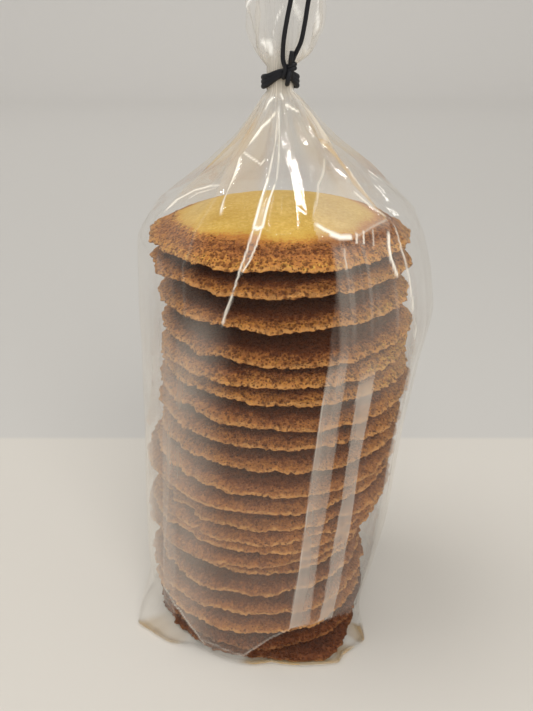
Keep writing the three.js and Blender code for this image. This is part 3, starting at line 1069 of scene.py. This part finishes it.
def wrap_film(settings):
    """The bag: one thin skin from the middle of its foot up to the cut edge of its mouth."""
    heights = film_heights()
    bm, column, ring = tube_grid(FILM_AROUND, len(FOOT_RINGS) + len(heights))
    turn = column * 360.0 / FILM_AROUND
    azimuth = turn + 20 * np.sin(np.radians(turn - 95))  # closest at the front
    z = np.concatenate([np.full(len(FOOT_RINGS), heights[0]), heights])[ring]
    points, worn = film_place(azimuth, z)
    draw = np.concatenate([FOOT_RINGS, np.ones(len(heights))])[ring]
    centre = film_station(heights[:1], 1)[0] + TO_FRAME
    points[:, 0] = centre + (points[:, 0] - centre) * draw
    points[:, 1] *= draw
    points[:, 2] += MOUTH_SAG * np.sin(np.radians(2 * azimuth + 40)) * smooth(z, NECK["high"] + 10, MOUTH_Z)
    points = np.clip(points, *np.array(CAD_BOX) / MM)
    way = turned(azimuth)
    shades = {
        "worn": worn,
        "milk": film_milk(way, z, settings),
        "dense": film_layer_shade(way, z),
        # The amber of the welded foot, and the painted reflection of the tuiles' gold on the shoulder.
        "weld": film_weld(way, z) * smooth(draw, 0.9, 0.97) + film_gold_reflection(way, z),
        "smeared": film_smeared(way, z),
    }
    piece(tube_mesh("film", bm, points, shades), clear_film(), "bag")


# ---- Elastic -------------------------------------------------------------------------------------

TIE_GAP = 0.3  # between the gathered film and the turns
TIE_Z, TIE_RISE = 180.7, 2.6
TIE_TURNS = (-1.2, 0.0, 1.2)
PINCH_AZIMUTH, PINCH_SPREAD = -80.0, 50.0
BRAID_RELIEF = 0.05
RING_STEP = 0.16
CORD_SIDES = 20
KNOT = np.array([6.8, -5.7, 184.9])
# Strands out of the knot, as places from its middle.
STRANDS = {
    "knot_left": (
        (-2.1, 0.7, -2.9), (-1.9, -0.4, -1.9), (-1.6, -0.6, -0.4), (-2.2, -0.8, 1.3), (-2.35, -0.85, 2.2),
    ),
    "knot_right": ((0.3, 1.1, -2.8), (0.1, 0.1, -1.4), (0.1, -0.1, 0.6), (0.5, -0.5, 2.3), (0.75, -0.6, 3.0)),
    "cut_end": ((-0.3, -0.8, 0.8), (-0.2, -1.8, 2.4), (0.1, -2.3, 4.3)),
}  # fmt: skip
LOOP = np.array(
    [
        (4.5, -6.5, 186.5),
        (4.4, -6.8, 188.2),
        (4.6, -7.9, 192),
        (5.4, -9.1, 197),
        (6.4, -9.8, 202),
        (7.7, -11.2, 210),
        (8.6, -12.9, 218),
        (9.0, -14.5, 224),
        (10.4, -15.3, 226.3),
        (12.6, -15.3, 227),
        (14.4, -14.6, 224.8),
        (14.5, -13.0, 219),
        (12.9, -11.3, 210.5),
        (11.0, -9.8, 202),
        (10.1, -8.8, 196),
        (9.2, -7.6, 191.4),
        (8.1, -6.7, 188.9),
        (7.4, -6.2, 187.5),
    ]
)


def curve_through(points, count):
    """count places evenly along a smooth curve through the points."""
    ends = [2 * points[0] - points[1], *points, 2 * points[-1] - points[-2]]
    line = []
    for p0, p1, p2, p3 in zip(ends, ends[1:], ends[2:], ends[3:]):
        a, b, c = (np.linalg.norm(q - p) ** 0.5 for p, q in ((p0, p1), (p1, p2), (p2, p3)))
        start = ((p1 - p0) / a - (p2 - p0) / (a + b) + (p2 - p1) / b) * b
        end = ((p2 - p1) / b - (p3 - p1) / (b + c) + (p3 - p2) / c) * b
        for t in np.linspace(0, 1, 24, endpoint=False):
            cubic = (2 * p1 - 2 * p2 + start + end) * t**3
            line.append(cubic + (3 * p2 - 3 * p1 - 2 * start - end) * t**2 + start * t + p1)
    line = np.array([*line, points[-1]])
    along = np.concatenate([[0], np.cumsum(np.linalg.norm(np.diff(line, axis=0), axis=1))])
    even = np.linspace(0, along[-1], count)
    return np.column_stack([np.interp(even, along, line[:, k]) for k in range(3)])


def elastic_run(name, line, diameter, node="tie", tall=1.0):
    """A braided round cord along a line, with closed ends; tall stretches it upright."""
    length = np.linalg.norm(np.diff(line, axis=0), axis=1).sum()
    rings = max(12, int(length / RING_STEP))
    line = curve_through(line, rings)
    along = np.gradient(line, axis=0)
    along /= np.linalg.norm(along, axis=1)[:, None]
    side = np.cross(along[0], (0.3, 0.5, 0.81))  # turned from ring to ring without a twist
    across = np.empty_like(along)
    for n, direction in enumerate(along):
        side = side - direction * side.dot(direction)
        side /= np.linalg.norm(side)
        across[n] = side
    other = np.cross(along, across)
    bm, column, ring = tube_grid(CORD_SIDES, rings)
    turn = column * 2 * np.pi / CORD_SIDES
    run = ring * length / rings
    thread = np.abs(np.sin(turn * 4 + run * 5.2)) * np.abs(np.sin(turn * 4 - run * 5.2))
    radius = diameter / 2 - BRAID_RELIEF * (1 - thread)
    radius = np.where((ring == 0) | (ring == rings - 1), 0.0, radius)
    out = across[ring] * np.cos(turn)[:, None] + other[ring] * np.sin(turn)[:, None]
    points = line[ring] + out * radius[:, None] * (1, 1, tall) + (TO_FRAME, 0, 0)
    mesh = tube_mesh(name, bm, points, {"thread": thread})
    finish = bpy.data.materials.get("braided_elastic") or braided_elastic()
    return piece(mesh, finish, node), line


def tie_turn(lift, cord):
    """One turn round the neck, drawn up to the pinch in front."""
    azimuth = np.linspace(-62, 289, 60)
    pinch = np.exp(-((apart(azimuth, PINCH_AZIMUTH) / PINCH_SPREAD) ** 2))
    r = NECK["r"] + TIE_GAP + cord / 2
    a = np.radians(azimuth)
    z = TIE_Z + TIE_RISE * pinch + lift * (1 - 0.6 * pinch)
    return np.column_stack([NECK["x"] + r * np.cos(a), r * np.sin(a), z])


def tie_elastic(settings):
    """The turns, the knot with its cut end, and the free loop."""
    cord = settings.diameter / MM
    for n, lift in enumerate(TIE_TURNS, 1):
        elastic_run(f"tie_turn_{n}", tie_turn(lift, cord), cord, tall=1.22)
    a = np.radians(np.linspace(100, 452, 17))
    for n, lift in enumerate((-0.5, 0.5), 1):
        wrap = np.column_stack([0.95 * np.cos(a), 0.85 * np.sin(a), lift + 0.3 * np.cos(a)])
        elastic_run(f"knot_wrap_{n}", KNOT + wrap, cord)
    a = np.radians(np.linspace(0, 380, 19))
    hitch = np.column_stack([-0.75 + 0.35 * np.sin(a), -0.15 + 1.25 * np.cos(a), -2.6 + 1.75 * np.sin(a)])
    elastic_run("hitch", KNOT + hitch, cord)
    for name, strand in STRANDS.items():
        elastic_run(name, KNOT + strand, cord)
    loop, line = elastic_run("loop", LOOP, cord, "tie_loop")
    path = (line + (TO_FRAME, 0, 0)) * MM
    length = np.linalg.norm(np.diff(path, axis=0), axis=1).sum()


# ---- Stage ---------------------------------------------------------------------------------------


WARM = (1.0, 0.97, 0.93)


def set_stage(settings):
    """A table and backdrop in one sweep, soft lights and the camera."""
    scene = bpy.context.scene
    bend = [(1.6 + 0.8 * math.sin(a), 0.8 - 0.8 * math.cos(a)) for a in np.linspace(0, math.pi / 2, 25)]
    section = [(-10.0, 0.0), *bend, (2.4, 6.0)]
    half_wide = 12
    bm = bmesh.new()
    edge = [bm.verts.new((-half_wide, y, z)) for y, z in section]
    edges = [bm.edges.new(pair) for pair in zip(edge, edge[1:])]
    for swept in bmesh.ops.extrude_edge_only(bm, edges=edges)["geom"]:
        if isinstance(swept, bmesh.types.BMVert):
            swept.co.x = half_wide
    smooth_object(mesh_of("table", bm), pale_table())

    world = bpy.data.worlds.new("studio")
    world.use_nodes = True
    sky = world.node_tree.nodes["Background"]
    sky.inputs["Color"].default_value = (*settings.ambient_colour, 1)
    sky.inputs["Strength"].default_value = settings.ambient
    scene.world = world

    # Name, place, width, height, watts (per square metre and steradian for a glint), and colour.
    lamps = (
        ("key", (-0.7, 0.05, 1.9), 1.0, 1.0, settings.key, WARM),
        ("front", (0.35, -1.75, 1.3), 1.7, 1.4, settings.front, WARM),
        ("glint_above", (0.135, -0.272, 1.5), 0.38, 0.075, settings.glints, (1.0, 0.98, 0.94)),
        ("glint_right", (0.68, -0.33, 1.15), 0.3, 0.03, settings.glints, (1.0, 0.97, 0.9)),
        ("glint_back", (0.88, 1.04, 0.7), 0.03, 0.05, settings.glints * 0.04, (1.0, 0.97, 0.92)),
    )
    for name, at, wide, tall, power, colour in lamps:
        lamp = bpy.data.lights.new(name, "AREA")
        lamp.shape, lamp.size, lamp.size_y = "RECTANGLE", wide, tall
        glint = name.startswith("glint")
        lamp.energy = power * math.pi * wide * tall if glint else power
        lamp.color = colour
        made = link(name, lamp)
        made.location = at
        made.visible_diffuse, made.visible_glossy = not glint, glint
        made.rotation_euler = (Vector((0, 0, 0.1)) - Vector(at)).to_track_quat("-Z", "Y").to_euler()
        if name == "glint_above":
            made.rotation_euler = (0, 0, -0.342)

    camera = bpy.data.cameras.new("camera")
    camera.sensor_width, camera.lens, camera.clip_start = 36, 37.46835, 0.01
    scene.camera = link("camera", camera)
    scene.camera.location = (TO_FRAME * MM, -0.2224, 0.199)
    scene.camera.rotation_euler = (math.radians(90 - 25), 0, 0)
    scene.view_settings.view_transform = "Standard"
    scene.cycles.transparent_max_bounces = 32


# ---- Settings ------------------------------------------------------------------------------------


def colour(name, description, *values):
    """A colour setting, whose default is linear, or on a 0 to 255 scale where its values are above 1."""
    default = linear(*values)[:3] if max(values) > 1 else values
    return FloatVectorProperty(
        name=name, description=description, default=default, size=3, subtype="COLOR", min=0, max=1
    )  # fmt: skip


def length(name, description, default):
    return FloatProperty(name=name, description=description, default=default, min=0, unit="LENGTH")


def power(name, description, default):
    return FloatProperty(name=name, description=description, default=default, min=0, unit="POWER")


def factor(name, description, default):
    return FloatProperty(
        name=name, description=description, default=default, min=0, max=1, subtype="FACTOR"
    )  # fmt: skip


def strength(name, description, default):
    return FloatProperty(name=name, description=description, default=default, min=0, subtype="UNSIGNED")


class TuileSettings(bpy.types.PropertyGroup):
    thickness: length("Thickness", "Thickness of a tuile in the middle", 0.0052)
    rim: length("Lip", "Thickness of a tuile at its lip", 0.0011)
    golden: colour("Golden", "The pale middle", 212, 176, 87)
    browned: colour("Browned", "The well baked band", 134, 80, 44)
    lip_colour: colour("Lip colour", "The crumbs along the lip", 200, 148, 88)
    pitted: colour("Pitted", "Inside the pores", 84, 40, 16)


class FilmSettings(bpy.types.PropertyGroup):
    milk: factor("Front", "How milky the front is, low down", 0.062)
    gusset_milk: factor("Gussets", "How milky the folded sides are", 0.3)
    strip_milk: factor("Strips", "How milky the doubled strips are", 0.195)


class ElasticSettings(bpy.types.PropertyGroup):
    diameter: length("Diameter", "Diameter of the cord", 0.0013)


class StageSettings(bpy.types.PropertyGroup):
    table_colour: colour("Table", "The table top", 0.66, 0.637, 0.594)
    wall_colour: colour("Beyond", "Just beyond the table's edge", 0.575, 0.568, 0.55)
    far_colour: colour("Far off", "The backdrop", 0.74, 0.73, 0.71)
    edge_y: length("Far edge", "How far back the table top ends", 0.104)
    ambient_colour: colour("Ambient colour", "Tint of the light from all round", 1.0, 0.97, 0.93)
    ambient: strength("Ambient", "Strength of the light from all round", 0.53)
    key: power("Key light", "The lamp overhead", 13.0)
    front: power("Front light", "The lamp in front", 28.0)
    glints: strength("Glints", "Brightness of the lamps that show only in the gloss", 110.0)


# ---- Operators and panel -------------------------------------------------------------------------


class TUILES_OT_bake(bpy.types.Operator):
    """Bake the stack of tuiles"""

    bl_idname = "tuiles.bake"
    bl_label = "Bake Tuiles"

    def execute(self, context):
        bake_tuiles(context.scene.tuiles)
        return {"FINISHED"}


class TUILES_OT_wrap(bpy.types.Operator):
    """Wrap the stack in clear film"""

    bl_idname = "tuiles.wrap"
    bl_label = "Wrap in Film"

    def execute(self, context):
        wrap_film(context.scene.tuile_film)
        return {"FINISHED"}


class TUILES_OT_tie(bpy.types.Operator):
    """Tie the neck with elastic"""

    bl_idname = "tuiles.tie"
    bl_label = "Tie with Elastic"

    def execute(self, context):
        tie_elastic(context.scene.tuile_elastic)
        return {"FINISHED"}


class TUILES_OT_stage(bpy.types.Operator):
    """Set the table, the lights and the camera"""

    bl_idname = "tuiles.stage"
    bl_label = "Set the Stage"

    def execute(self, context):
        set_stage(context.scene.tuile_stage)
        return {"FINISHED"}


class TUILES_PT_sidebar(bpy.types.Panel):
    bl_label = "Bag of Tuiles"
    bl_space_type = "VIEW_3D"
    bl_region_type = "UI"
    bl_category = "Tuiles"

    def draw(self, context):
        for group, operator in (
            ("tuiles", "tuiles.bake"),
            ("tuile_film", "tuiles.wrap"),
            ("tuile_elastic", "tuiles.tie"),
            ("tuile_stage", "tuiles.stage"),
        ):
            settings = getattr(context.scene, group)
            box = self.layout.box()
            for name in settings.bl_rna.properties.keys():
                if name not in {"rna_type", "name"}:
                    box.prop(settings, name)
            box.operator(operator)


GROUPS = {
    "tuiles": TuileSettings,
    "tuile_film": FilmSettings,
    "tuile_elastic": ElasticSettings,
    "tuile_stage": StageSettings,
}
CLASSES = (
    *GROUPS.values(),
    TUILES_OT_bake,
    TUILES_OT_wrap,
    TUILES_OT_tie,
    TUILES_OT_stage,
    TUILES_PT_sidebar,
)


def register():
    for cls in CLASSES:
        bpy.utils.register_class(cls)
    for name, group in GROUPS.items():
        setattr(bpy.types.Scene, name, PointerProperty(type=group))


def unregister():
    for name in GROUPS:
        delattr(bpy.types.Scene, name)
    for cls in reversed(CLASSES):
        bpy.utils.unregister_class(cls)


def main():
    register()
    bpy.ops.tuiles.stage()
    bpy.ops.tuiles.tie()
    bpy.ops.tuiles.wrap()
    bpy.ops.tuiles.bake()


if __name__ == "__main__":
    main()
